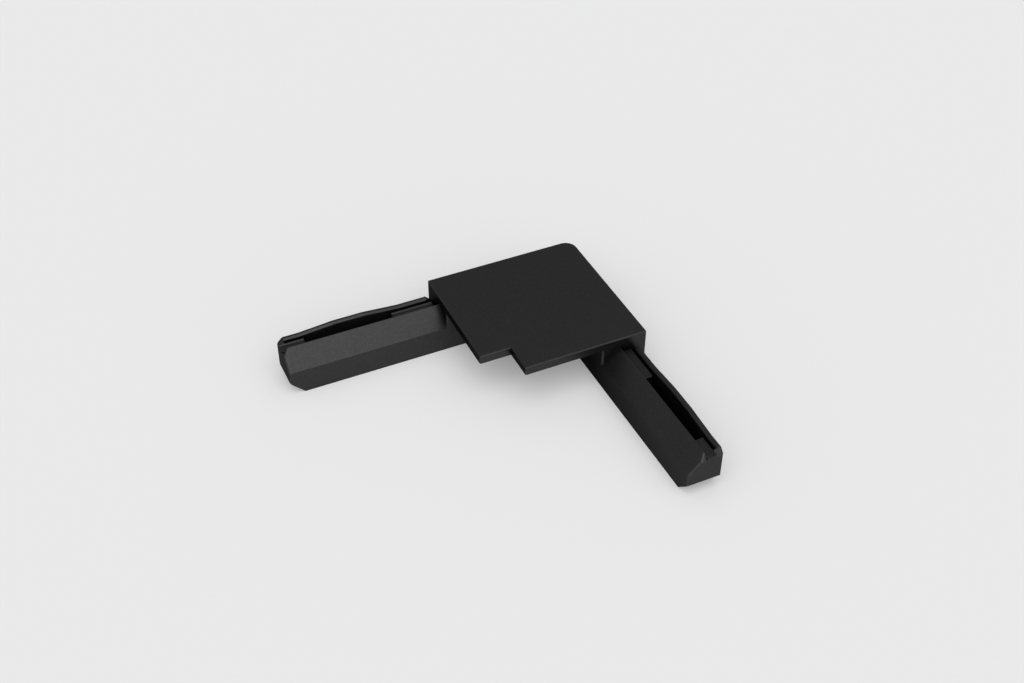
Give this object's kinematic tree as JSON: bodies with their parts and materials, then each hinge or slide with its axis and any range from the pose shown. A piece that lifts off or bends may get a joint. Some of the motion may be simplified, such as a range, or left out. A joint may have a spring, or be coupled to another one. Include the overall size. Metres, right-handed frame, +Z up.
{
  "type": "inner corner connector",
  "caption": "Moulded inner corner connector: notched square cap over an L-shaped block, with plug-in arms at right angles that carry a crowned spring wall, to join profiles at a corner.",
  "frame": {"origin": "middle of the plan's bounding box, on the underside that the part stands on", "axes": "+Z up through the cap, +X along one arm towards its end, +Y along the other arm towards its end"},
  "size_m": [0.0804, 0.0804, 0.0133],
  "materials": {
    "black_plastic": "fine matt moulded texture"
  },
  "bodies": {
    "root": {"corner_connector": "black_plastic"}
  },
  "joints": []
}
